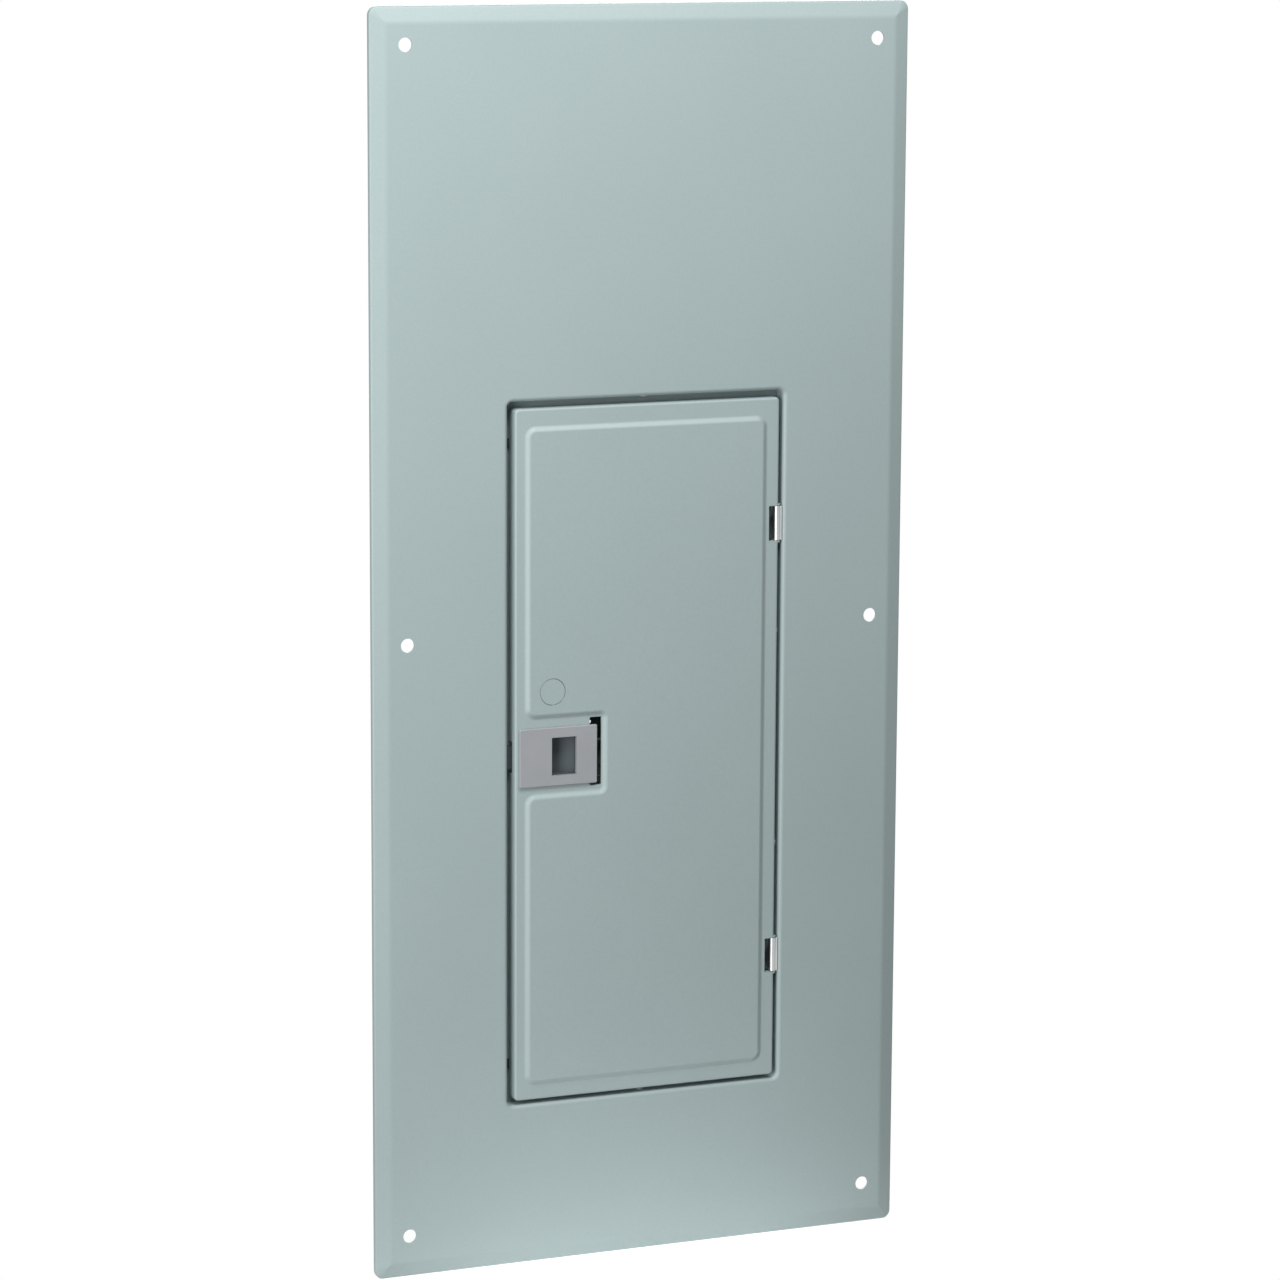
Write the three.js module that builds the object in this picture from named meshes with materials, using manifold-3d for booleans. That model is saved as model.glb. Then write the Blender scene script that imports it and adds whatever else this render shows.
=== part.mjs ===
// Cover assembly of a flush load center: steel trim, hinged door with a sliding latch, and a dead front
// whose breaker windows are closed by twist-out plates. Millimetres, +Z up. X runs to the right and Y from
// the front into the wall. While the pieces are made, y = 0 is the trim's front face and x = z = 0 is the
// middle of the trim; the finished group is then moved so that its origin is the centre of its own box.
import * as THREE from "three";
import { mergeVertices } from "three/addons/utils/BufferGeometryUtils.js";
import Module from "manifold-3d";

const wasm = await Module();
wasm.setup();

// Trim: one stamping with a bevelled rim and a flanged opening for the door
const coverWidth = 387.35;
const coverHeight = 860;
const coverSheet = 1.5;
const coverCornerRadius = 6;
const rimBevelWidth = 9.3;
const rimBevelDrop = 2.6;
const rimRadius = 1.5;
const rimDepth = 6.5;
const rimInnerEase = 0.6;
const openingOffsetX = 2.3;
const openingOffsetZ = -74.6;
const openingCornerRadius = 4;
const openingBendRadius = 3;
const screwHoleDiameter = 9.5;
const screwInsetSide = 24.1;
const screwInsetTop = 25;
const screwInsetBottom = 29;
const screwMiddleZ = 8;

// Door: shallow tray with a raised centre, notched round the latch
const doorSheet = 1.2;
const doorDepth = 10.8;
const doorBendRadius = 1.8;
const doorCornerRadius = 3;
const doorGapLatchSide = 4.9;
const doorGapHingeSide = 3;
const doorGapTop = 4.9;
const doorGapBottom = 3;
const raisedInsetLatchSide = 6.5;
const raisedInsetHingeSide = 9;
const raisedInsetTop = 11.5;
const raisedInsetBottom = 10;
const raisedBevel = 4.5;
const raisedHeight = 2;
const raisedCornerRadius = 8;
const raisedFoot = 0.8;
const shellLap = 0.5;
const bayCornerRadius = 1.5;

// Hinges: plated leaves riveted inside the opening, pins in ears bent back from the door
const hingeAxisFromOpening = 3.4;
const hingePinRadius = 1;
const hingeBoreClearance = 0.2;
const hingeKnuckleRadius = 2.3;
const hingeNotchWidth = 7.3;
const hingeNotchHeight = 24.3;
const hingeNotchClearance = 0.4;
const hingeLeafThickness = 1.3;
const hingeLeafEnd = 11.5;
const hingeEarThickness = 1.2;
const hingePinOverhang = 1.4;
const hingePinPocketSkin = 0.1;
const hingeEarFoot = 1;
const hingeUpperFromDoorTop = 86.9;
const hingeLowerFromDoorBottom = 85.9;
const hingeRivetDepth = 8;
const hingeRivetSpacing = 14;

// Latch: moulded finger slide in the door's notch
const latchFromDoorTop = 237.7;
const latchFromDoorEdge = 2.8;
const latchPlateWidth = 57.5;
const latchPlateHeight = 40.5;
const latchPlateThickness = 1.6;
const latchPlateChamfer = 0.5;
const latchPlateCornerRadius = 1.2;
const latchNotchMarginTop = 5.5;
const latchNotchMarginBottom = 4.5;
const latchNotchMarginSide = 4.6;
const fingerHoleWidth = 18;
const fingerHoleHeight = 26.3;
const fingerHoleFromPlateEdge = 23.3;
const fingerHoleDepth = 10;
const fingerHoleFloorWidth = 5.5;
const fingerHoleRampDepth = 5.6;
const latchWall = 1.7;
const latchThrow = 2.5;
const latchDraw = 4;
const latchRunClearance = 0.6;
const tongueHeight = 16;
const tongueThickness = 3;
const tongueTipBevel = 3;
const tongueTipFlat = 0.6;
const tongueShortOfWall = 0.6;
const tongueSlotRoomFront = 3.4;
const tongueSlotRoomBack = 1.7;
const tongueSlotRoomZ = 3;
const tongueSlotStrip = 1;
const latchSideRoom = 2.4;
const latchSlotLap = 5;
const latchSlotAbovePlate = 3.8;
const latchSlotBelowPlate = 1.8;
const latchEarWidth = 7;
const latchEarReach = 2.4;
const latchGuideRoom = 1.6;
const latchGuideWidth = 16;
const latchGuideSheet = 1;
const latchGuideFoot = 3;

// Lock knock-out above the latch
const knockoutDiameter = 18.5;
const knockoutFromDoorEdge = 26.6;
const knockoutAboveLatch = 24.5;
const knockoutSetback = 0.25;

// Dead front: stepped tray behind the door
const deadFrontSheet = 1.2;
const deadFrontLedge = 10;
const deadFrontFloor = 24;
const deadFrontWallFront = 4;
const deadFrontWallRail = 1.1;
const deadFrontBend = 1;
const windowRows = 15;
const windowPitch = 25.4;
const windowWidth = 48;
const windowMiddleRib = 22;
const windowMarginBottom = 8;
const windowMarginTop = 17.8;
const windowMarginSide = 31.5;
const windowCornerRadius = 1.5;
const mainWindowWidth = 70;
const mainWindowHeight = 46;
const mainWindowGap = 12;
const mainBeadWidth = 49;
const mainBeadHeight = 25.3;
const twistoutSlit = 0.8;
const twistoutBeadWidth = 32;
const twistoutBeadHeight = 12;
const twistoutBeadRise = 0.8;
const twistoutBeadRoundness = 0.45;
const twistoutCornerRadius = 1.2;
const twistSlotWidth = 8;
const twistSlotHeight = 2;
const twistSlotRadius = 0.9;

// Small parts
const rivetShankRadius = 1.4;
const rivetHoleRadius = 1.7;
const rivetHeadRadius = 2.4;
const rivetHeadHeight = 0.9;
const rivetCrownShare = 0.6;
const rivetTailShare = 0.9;
const rivetDepth = 8.5;
const rivetSpreadLatchSide = 330;
const rivetSpreadHingeSide = 150;
const bumperDiameter = 7;
const bumperThickness = 1.4;
const bumperFromDoorEnd = 24;
const cardWidth = 140;
const cardHeight = 130;
const cardThickness = 0.4;
const cardFromRaisedTop = 18;

// Gap kept between pieces that touch, so that each stays a separate solid
const fitGap = 0.3;

// How far a cutting body runs past the sheet it cuts, and how finely round shapes are stepped
const cutOver = 1;
const cornerSteps = 4;
const roundSteps = 24;
const rivetSteps = 10;

// The opening takes the windows with their margins, and the ledge that runs round them
const windowsWidth = 2 * windowWidth + windowMiddleRib;
const windowsHeight = windowRows * windowPitch + mainWindowGap + mainWindowHeight;
const openingWidth = windowsWidth + 2 * (windowMarginSide + deadFrontLedge);
const openingHeight = windowsHeight + windowMarginBottom + windowMarginTop + 2 * deadFrontLedge;

// The opening's flange is as deep as the closed door on its rubber stops
const openingFlangeDepth = doorDepth + fitGap + bumperThickness;

// Places that follow from the sizes above
const opening = {
  left: openingOffsetX - openingWidth / 2,
  right: openingOffsetX + openingWidth / 2,
  bottom: openingOffsetZ - openingHeight / 2,
  top: openingOffsetZ + openingHeight / 2,
};
const door = {
  left: opening.left + doorGapLatchSide,
  right: opening.right - doorGapHingeSide,
  bottom: opening.bottom + doorGapBottom,
  top: opening.top - doorGapTop,
};
const raised = {
  left: door.left + raisedInsetLatchSide,
  right: door.right - raisedInsetHingeSide,
  bottom: door.bottom + raisedInsetBottom,
  top: door.top - raisedInsetTop,
};
const latch = {
  left: door.left + latchFromDoorEdge,
  right: door.left + latchFromDoorEdge + latchPlateWidth,
  middle: door.top - latchFromDoorTop,
};
const finger = {
  left: latch.left + fingerHoleFromPlateEdge,
  right: latch.left + fingerHoleFromPlateEdge + fingerHoleWidth,
  bottom: latch.middle - fingerHoleHeight / 2,
  top: latch.middle + fingerHoleHeight / 2,
};
const latchFront = -latchPlateThickness - fitGap;
const latchBack = latchFront + fingerHoleDepth + latchWall;
const latchEarRise = latchWall + latchSideRoom + latchEarReach;
const tongueBack = openingFlangeDepth - tongueSlotStrip - tongueSlotRoomBack;
const tongueFront = tongueBack - tongueThickness;
const tongueSlotHeight = tongueHeight + 2 * tongueSlotRoomZ;
const hingeX = opening.right - hingeAxisFromOpening;
const hingeAxisDepth = doorSheet + fitGap + hingePinRadius;
const hingeHeights = {
  upper: door.top - hingeUpperFromDoorTop,
  lower: door.bottom + hingeLowerFromDoorBottom,
};
const hingeBoreRadius = hingePinRadius + hingeBoreClearance;
const ledgeFront = openingFlangeDepth + fitGap;
const deadFrontWallInner = coverSheet + fitGap;
const rivetGrip = coverSheet + fitGap + deadFrontSheet;

// A box from its two opposite corners.
function box(x0, x1, y0, y1, z0, z1) {
  const geometry = new THREE.BoxGeometry(x1 - x0, y1 - y0, z1 - z0);
  return solid(geometry.translate((x0 + x1) / 2, (y0 + y1) / 2, (z0 + z1) / 2));
}

// A round rod along Y from y0 to y1.
function rodAlongY(x, z, radius, y0, y1) {
  const geometry = new THREE.CylinderGeometry(radius, radius, y1 - y0, roundSteps);
  return solid(geometry.translate(x, (y0 + y1) / 2, z));
}

// A rivet hole about the origin, along the direction that X turns to.
function rivetHole(reach, turn, x, y, z) {
  const geometry = new THREE.CylinderGeometry(rivetHoleRadius, rivetHoleRadius, 2 * reach, rivetSteps);
  return solid(geometry.rotateZ(Math.PI / 2).rotateY(turn).translate(x, y, z));
}

// A round rod along Z from z0 to z1.
function rodAlongZ(x, y, radius, z0, z1) {
  const geometry = new THREE.CylinderGeometry(radius, radius, z1 - z0, roundSteps).rotateX(Math.PI / 2);
  return solid(geometry.translate(x, y, (z0 + z1) / 2));
}

// A manifold solid from a closed three.js geometry.
function solid(geometry) {
  const bare = geometry.clone();
  bare.deleteAttribute("normal");
  bare.deleteAttribute("uv");
  const merged = mergeVertices(bare, 1e-4);
  return new wasm.Manifold(
    new wasm.Mesh({
      numProp: 3,
      vertProperties: merged.attributes.position.array,
      triVerts: new Uint32Array(merged.index.array),
    }),
  );
}

// The three.js geometry of a manifold solid.
function geometryOf(shape) {
  const mesh = shape.getMesh();
  const geometry = new THREE.BufferGeometry();
  geometry.setAttribute("position", new THREE.BufferAttribute(mesh.vertProperties, 3));
  geometry.setIndex(new THREE.BufferAttribute(mesh.triVerts, 1));
  const flat = geometry.toNonIndexed();
  flat.computeVertexNormals();
  return flat;
}

// The corners of a rectangle, anticlockwise as seen from the front.
function rectangle(area, radius) {
  return [
    { x: area.left, z: area.bottom, r: radius },
    { x: area.right, z: area.bottom, r: radius },
    { x: area.right, z: area.top, r: radius },
    { x: area.left, z: area.top, r: radius },
  ];
}

// A rectangle about its own middle.
function centred(width, height, radius) {
  return rectangle({ left: -width / 2, right: width / 2, bottom: -height / 2, top: height / 2 }, radius);
}

// The directions of the edges that come into and go out of corner i.
function edgesAt(corners, i) {
  const before = corners[(i + corners.length - 1) % corners.length];
  const after = corners[(i + 1) % corners.length];
  const here = corners[i];
  const into = new THREE.Vector2(here.x - before.x, here.z - before.z).normalize();
  const out = new THREE.Vector2(after.x - here.x, after.z - here.z).normalize();
  return { into, out };
}

// Moves every edge of a square-cornered outline inwards; outer corners tighten and inner ones widen.
function inset(corners, distance) {
  return corners.map((corner, i) => {
    const { into, out } = edgesAt(corners, i);
    const turn = into.cross(out);
    return {
      x: corner.x - distance * (into.y + out.y),
      z: corner.z + distance * (into.x + out.x),
      r: Math.max(corner.r - turn * distance, 0.4),
    };
  });
}

// The outline's points, with an arc of cornerSteps steps at each corner.
function rounded(corners, steps = cornerSteps) {
  return corners.flatMap((corner, i) => {
    const { into, out } = edgesAt(corners, i);
    return Array.from({ length: steps + 1 }, (_, k) => {
      const angle = ((k / steps) * Math.PI) / 2;
      const along = corner.r * (Math.sin(angle) - 1);
      const across = corner.r * (1 - Math.cos(angle));
      return [corner.x + into.x * along + out.x * across, corner.z + into.y * along + out.y * across];
    });
  });
}

// The rings of a sheet that follows an outline: each profile point is [inset from the outline, y].
function ringsOf(corners, profile, steps) {
  return profile.map(([distance, y]) => ({ points: rounded(inset(corners, distance), steps), y }));
}

// A skin through the rings. Open ends are capped; a loop joins the last ring to the first.
function loft(rings, loop = false) {
  const count = rings[0].points.length;
  const positions = rings.flatMap((ring) => ring.points.flatMap(([x, z]) => [x, ring.y, z]));
  const triangles = [];
  const bands = loop ? rings.length : rings.length - 1;
  for (let band = 0; band < bands; band++) {
    const near = band * count;
    const far = ((band + 1) % rings.length) * count;
    for (let i = 0; i < count; i++) {
      const j = (i + 1) % count;
      triangles.push(near + i, far + i, far + j, near + i, far + j, near + j);
    }
  }
  if (!loop) {
    const last = (rings.length - 1) * count;
    for (const [a, b, c] of capOf(rings[0])) triangles.push(a, b, c);
    for (const [a, b, c] of capOf(rings.at(-1))) triangles.push(last + c, last + b, last + a);
  }
  const geometry = new THREE.BufferGeometry();
  geometry.setAttribute("position", new THREE.Float32BufferAttribute(positions, 3));
  geometry.setIndex(triangles);
  return solid(geometry);
}

function capOf(ring) {
  return THREE.ShapeUtils.triangulateShape(
    ring.points.map(([x, z]) => new THREE.Vector2(x, z)),
    [],
  );
}

// A straight block with the outline's shape, from y0 to y1.
function prism(corners, y0, y1, steps) {
  const points = rounded(corners, steps);
  return loft([
    { points, y: y0 },
    { points, y: y1 },
  ]);
}

// A block whose section is drawn in X and Y and that stands along Z.
function section(points, z0, z1) {
  const shape = new THREE.Shape(points.map(([x, y]) => new THREE.Vector2(x, y)));
  const geometry = new THREE.ExtrudeGeometry(shape, { depth: z1 - z0, bevelEnabled: false });
  return solid(geometry.translate(0, 0, z0));
}

// Points of a quarter bend in a profile, from one angle to another about [centre inset, centre y].
function bend(centreInset, centreY, radius, fromDegrees, toDegrees, steps = 3) {
  return Array.from({ length: steps + 1 }, (_, k) => {
    const angle = THREE.MathUtils.degToRad(fromDegrees + ((toDegrees - fromDegrees) * k) / steps);
    return [centreInset + radius * Math.cos(angle), centreY + radius * Math.sin(angle)];
  });
}

const group = new THREE.Group();

// Adds one named piece; a place of [x, y, z] moves it there.
function addPiece(name, shape, finish, place = [0, 0, 0]) {
  const geometry = shape.isBufferGeometry ? shape : geometryOf(shape);
  const mesh = new THREE.Mesh(geometry, new THREE.MeshStandardMaterial(finish));
  mesh.name = name;
  mesh.position.set(...place);
  group.add(mesh);
  return mesh;
}

const greyEnamel = { color: 0xa3b2b2, roughness: 0.45, metalness: 0.1 };
const zincPlate = { color: 0xc9cdd0, roughness: 0.3, metalness: 0.9 };
const greyPlastic = { color: 0x9fa2a6, roughness: 0.5, metalness: 0 };
const blackRubber = { color: 0x24262a, roughness: 0.85, metalness: 0 };
const whiteCard = { color: 0xe9e8e0, roughness: 0.8, metalness: 0 };

// The six holes for the screws that hold the cover to its enclosure.
function screwPlaces() {
  const x = coverWidth / 2 - screwInsetSide;
  const heights = [coverHeight / 2 - screwInsetTop, screwMiddleZ, screwInsetBottom - coverHeight / 2];
  return heights.flatMap((z) => [
    [-x, z],
    [x, z],
  ]);
}

// Where the dead front is riveted to the opening's flange, and the turn from +X to each wall's outside.
function rivetPlaces() {
  const latchRise = rivetSpreadLatchSide / 2;
  const hingeRise = rivetSpreadHingeSide / 2;
  return [
    { x: opening.left, z: openingOffsetZ + latchRise, turn: Math.PI },
    { x: opening.left, z: openingOffsetZ - latchRise, turn: Math.PI },
    { x: opening.right, z: openingOffsetZ + hingeRise, turn: 0 },
    { x: opening.right, z: openingOffsetZ - hingeRise, turn: 0 },
    { x: openingOffsetX, z: opening.top, turn: -Math.PI / 2 },
    { x: openingOffsetX, z: opening.bottom, turn: Math.PI / 2 },
  ];
}

// The two rivets of one hinge leaf.
function hingeRivetHeights(z) {
  return [z + hingeRivetSpacing / 2, z - hingeRivetSpacing / 2];
}

// Holes through the opening's flange and the dead front's wall for every rivet.
function rivetHoles() {
  const reach = rivetGrip + 2 * cutOver;
  const heights = Object.values(hingeHeights).flatMap(hingeRivetHeights);
  return wasm.Manifold.union([
    ...rivetPlaces().map(({ x, z, turn }) => rivetHole(reach, turn, x, rivetDepth, z)),
    ...heights.map((z) => rivetHole(reach, 0, opening.right, hingeRivetDepth, z)),
  ]);
}

// The slot in the opening's latch side that the tongue is thrown into.
function tongueSlot(frontY) {
  const reach = rivetGrip + cutOver;
  const back = tongueBack + tongueSlotRoomBack;
  const low = latch.middle - tongueSlotHeight / 2;
  return box(opening.left - reach, opening.left + cutOver, frontY, back, low, low + tongueSlotHeight);
}

function frontPan(holes) {
  const outer = centred(coverWidth, coverHeight, coverCornerRadius);
  const inner = rectangle(opening, openingCornerRadius);
  const slopeEnd = rimRadius + rimBevelWidth;
  const outside = [
    [slopeEnd, 0],
    ...bend(rimRadius, rimBevelDrop + rimRadius, rimRadius, 270, 180, 2),
    [0, rimDepth],
    [coverSheet, rimDepth],
    [coverSheet, rimBevelDrop + coverSheet + rimInnerEase],
    [coverSheet + rimInnerEase, rimBevelDrop + coverSheet],
    [slopeEnd, coverSheet],
  ];
  const centre = -openingBendRadius;
  const innerRadius = openingBendRadius - coverSheet;
  const flangeFront = bend(centre, openingBendRadius, openingBendRadius, 0, -90);
  const flangeBack = bend(centre, openingBendRadius, innerRadius, -90, 0);
  const around = [...flangeBack, [-coverSheet, openingFlangeDepth], [0, openingFlangeDepth]];
  const rings = [...ringsOf(inner, flangeFront), ...ringsOf(outer, outside), ...ringsOf(inner, around)];
  const screwHoles = screwPlaces().map(([x, z]) =>
    rodAlongY(x, z, screwHoleDiameter / 2, -cutOver, coverSheet + cutOver),
  );
  const slot = tongueSlot(tongueFront - tongueSlotRoomFront);
  return loft(rings, true).subtract(wasm.Manifold.union([...screwHoles, slot, holes]));
}

// The floor of the dead front inside its walls.
function floorArea() {
  return {
    left: opening.left + deadFrontLedge,
    right: opening.right - deadFrontLedge,
    bottom: opening.bottom + deadFrontLedge,
    top: opening.top - deadFrontLedge,
  };
}

// The breaker windows: one tall window on each side of the middle rib, and the main window above them.
function windowAreas() {
  const bottom = floorArea().bottom + windowMarginBottom;
  const top = bottom + windowRows * windowPitch;
  const near = windowMiddleRib / 2;
  const far = near + windowWidth;
  const mainBottom = top + mainWindowGap;
  return {
    left: { left: openingOffsetX - far, right: openingOffsetX - near, bottom, top },
    right: { left: openingOffsetX + near, right: openingOffsetX + far, bottom, top },
    main: {
      left: openingOffsetX - mainWindowWidth / 2,
      right: openingOffsetX + mainWindowWidth / 2,
      bottom: mainBottom,
      top: mainBottom + mainWindowHeight,
    },
  };
}

function deadFront(holes) {
  const back = deadFrontFloor + deadFrontSheet;
  const wallOuter = -deadFrontWallInner - deadFrontSheet;
  const inner = deadFrontLedge - deadFrontSheet;
  const profile = [
    [deadFrontLedge, deadFrontFloor],
    [deadFrontLedge, ledgeFront + deadFrontBend],
    [deadFrontLedge - deadFrontBend, ledgeFront],
    [-deadFrontWallInner, ledgeFront],
    [-deadFrontWallInner, deadFrontWallFront],
    [wallOuter, deadFrontWallFront],
    [wallOuter, ledgeFront + deadFrontSheet],
    [inner, ledgeFront + deadFrontSheet],
    [inner, back - deadFrontBend],
    [inner + deadFrontBend, back],
  ];
  const tray = loft(ringsOf(rectangle(opening, openingCornerRadius), profile));
  const windows = Object.values(windowAreas()).map((area) =>
    prism(rectangle(area, windowCornerRadius), deadFrontFloor - cutOver, back + cutOver, 2),
  );
  const slot = tongueSlot(deadFrontWallFront + deadFrontWallRail);
  return tray.subtract(wasm.Manifold.union([...windows, slot, holes]));
}

// A flat plate that closes part of a window, with a pressed bead and a slot for the screwdriver that twists
// it out. Made about its own middle, with y = 0 at its front face.
function twistout(width, height, beadWidth, beadHeight) {
  const bead = [
    [twistoutBeadRise, -twistoutBeadRise],
    [0, 0],
    [0, deadFrontSheet / 2],
  ];
  const slot = centred(twistSlotWidth, twistSlotHeight, twistSlotRadius);
  const front = -twistoutBeadRise - cutOver;
  return prism(centred(width, height, twistoutCornerRadius), 0, deadFrontSheet, 1)
    .add(loft(ringsOf(centred(beadWidth, beadHeight, beadHeight * twistoutBeadRoundness), bead, 2)))
    .subtract(prism(slot, front, deadFrontSheet + cutOver, 1));
}

function addTwistouts() {
  const areas = windowAreas();
  const plate = geometryOf(
    twistout(
      windowWidth - 2 * twistoutSlit,
      windowPitch - twistoutSlit,
      twistoutBeadWidth,
      twistoutBeadHeight,
    ),
  );
  for (const side of ["left", "right"]) {
    for (let row = 0; row < windowRows; row++) {
      const x = (areas[side].left + areas[side].right) / 2;
      const z = areas[side].top - (row + 0.5) * windowPitch;
      const name = `twistout_${side}_${String(row + 1).padStart(2, "0")}`;
      addPiece(name, plate.clone(), greyEnamel, [x, deadFrontFloor, z]);
    }
  }
  const main = twistout(
    mainWindowWidth - 2 * twistoutSlit,
    mainWindowHeight - 2 * twistoutSlit,
    mainBeadWidth,
    mainBeadHeight,
  );
  const z = (areas.main.bottom + areas.main.top) / 2;
  addPiece("main_twistout", main, greyEnamel, [openingOffsetX, deadFrontFloor, z]);
}

// A blind rivet along its own Y axis: dome head at the start, upset tail past the grip.
function rivet(grip) {
  const head = rivetHeadHeight;
  const points = [
    [0, -fitGap - head],
    [rivetHeadRadius * rivetCrownShare, -fitGap - head],
    [rivetHeadRadius, -fitGap],
    [rivetShankRadius, -fitGap],
    [rivetShankRadius, grip + fitGap],
    [rivetHeadRadius * rivetTailShare, grip + fitGap],
    [rivetShankRadius, grip + fitGap + head],
    [0, grip + fitGap + head],
  ];
  return new THREE.LatheGeometry(
    points.map(([r, y]) => new THREE.Vector2(r, y)),
    rivetSteps,
  );
}

function addRivets() {
  rivetPlaces().forEach(({ x, z, turn }, i) => {
    const shape = rivet(rivetGrip).rotateZ(-Math.PI / 2);
    const mesh = addPiece(`dead_front_rivet_0${i + 1}`, shape, zincPlate, [x, rivetDepth, z]);
    mesh.rotation.y = turn;
  });
  const leafFace = opening.right - fitGap - hingeLeafThickness;
  const heights = Object.values(hingeHeights).flatMap(hingeRivetHeights);
  heights.forEach((z, i) => {
    const shape = rivet(rivetGrip + fitGap + hingeLeafThickness).rotateZ(-Math.PI / 2);
    addPiece(`hinge_rivet_0${i + 1}`, shape, zincPlate, [leafFace, hingeRivetDepth, z]);
  });
}

// A plated leaf against the opening's flange, with the knuckle that the pin turns in.
function hingeBracket() {
  const half = hingeNotchHeight / 2 - hingeNotchClearance;
  const leafOut = hingeAxisFromOpening - fitGap;
  const leafIn = leafOut - hingeLeafThickness;
  const leaf = box(leafIn, leafOut, 0, hingeLeafEnd - hingeAxisDepth, -half, half);
  const knuckle = rodAlongZ(0, 0, hingeKnuckleRadius, -half, half);
  const bore = rodAlongZ(0, 0, hingeBoreRadius, -half - cutOver, half + cutOver);
  const holes = hingeRivetHeights(0).map((z) =>
    rivetHole(hingeLeafThickness, 0, (leafIn + leafOut) / 2, hingeRivetDepth - hingeAxisDepth, z),
  );
  return knuckle.add(leaf).subtract(wasm.Manifold.union([bore, ...holes]));
}

function addHinges() {
  const half = hingeNotchHeight / 2 + hingeEarThickness + hingePinOverhang;
  for (const [side, z] of Object.entries(hingeHeights)) {
    const place = [hingeX, hingeAxisDepth, z];
    addPiece(`hinge_bracket_${side}`, hingeBracket(), zincPlate, place);
    addPiece(`hinge_pin_${side}`, rodAlongZ(0, 0, hingePinRadius, -half, half), zincPlate, place);
  }
}

// The raised centre's outline, open towards the latch side where the latch plate lies.
function raisedOutline() {
  const notchTop = latch.middle + latchPlateHeight / 2 + latchNotchMarginTop;
  const notchBottom = latch.middle - latchPlateHeight / 2 - latchNotchMarginBottom;
  const notchRight = latch.right + latchNotchMarginSide;
  const corner = raisedCornerRadius;
  return [
    ...rectangle(raised, corner),
    { x: raised.left, z: notchTop, r: corner },
    { x: notchRight, z: notchTop, r: bayCornerRadius },
    { x: notchRight, z: notchBottom, r: bayCornerRadius },
    { x: raised.left, z: notchBottom, r: corner },
  ];
}

function doorTray() {
  const innerRadius = doorBendRadius - doorSheet;
  const profile = [
    ...bend(doorBendRadius, doorBendRadius, -doorBendRadius, 90, 0),
    [0, doorDepth],
    [doorSheet, doorDepth],
    ...bend(doorBendRadius, doorBendRadius, -innerRadius, 0, 90),
  ];
  return loft(ringsOf(rectangle(door, doorCornerRadius), profile));
}

// The raised centre with its soft bevel, overlapping the tray round its foot.
function raisedShell() {
  const slope = [1, 0.7, 0.3, 0].map((share) => [
    raisedBevel * share,
    -raisedHeight * THREE.MathUtils.smoothstep(share, 0, 1),
  ]);
  const back = [
    [0, doorSheet],
    [raisedFoot, doorSheet],
    [raisedBevel, doorSheet - raisedHeight],
  ];
  return loft(ringsOf(raisedOutline(), [...slope, ...back]));
}

// One hinge cut-out: the notch for the knuckle, and the relief past it for the ends of the pin.
function hingeNotch(z) {
  const half = hingeNotchHeight / 2;
  const relief = half + hingeEarThickness + hingePinOverhang + fitGap;
  const behindSheet = doorSheet + hingePinPocketSkin;
  const pinRoom = hingePinRadius + 2 * fitGap;
  const left = door.right - hingeNotchWidth;
  const right = door.right + cutOver;
  const notch = box(left, right, -cutOver, doorDepth + cutOver, z - half, z + half);
  const pinBack = hingeAxisDepth + pinRoom;
  const pin = box(hingeX - pinRoom, right, behindSheet, pinBack, z - relief, z + relief);
  return notch.add(pin);
}

// The ears bent back from the notch's two ends, which hold the pin.
function hingeEars(z) {
  const start = door.right - hingeNotchWidth + hingeEarFoot;
  const half = hingeNotchHeight / 2;
  const boreEnd = half + hingeEarThickness + cutOver;
  const ears = [z + half, z - half - hingeEarThickness].map((low) => {
    const high = low + hingeEarThickness;
    const front = hingeAxisDepth - hingeKnuckleRadius;
    const back = hingeAxisDepth + hingeKnuckleRadius;
    return box(start, hingeX, front, back, low, high).add(
      rodAlongZ(hingeX, hingeAxisDepth, hingeKnuckleRadius, low, high),
    );
  });
  const bore = rodAlongZ(hingeX, hingeAxisDepth, hingeBoreRadius, z - boreEnd, z + boreEnd);
  return wasm.Manifold.union(ears).subtract(bore);
}

// The cut-outs under the latch plate: the slide's run, and a wider end where its ears go in.
function latchApertures() {
  const bodyTop = finger.top + latchWall + latchSideRoom;
  const bodyBottom = finger.bottom - latchWall - latchSideRoom;
  const left = finger.left - latchWall - latchThrow - latchRunClearance;
  const right = latch.right + latchDraw - fitGap;
  const endLeft = latch.right - latchSlotLap;
  const endTop = latch.middle + latchPlateHeight / 2 + latchSlotAbovePlate;
  const endBottom = latch.middle - latchPlateHeight / 2 - latchSlotBelowPlate;
  const front = -raisedHeight - cutOver;
  const back = doorSheet + cutOver;
  return box(left, right, front, back, bodyBottom, bodyTop).add(
    box(endLeft, right, front, back, endBottom, endTop),
  );
}

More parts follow.
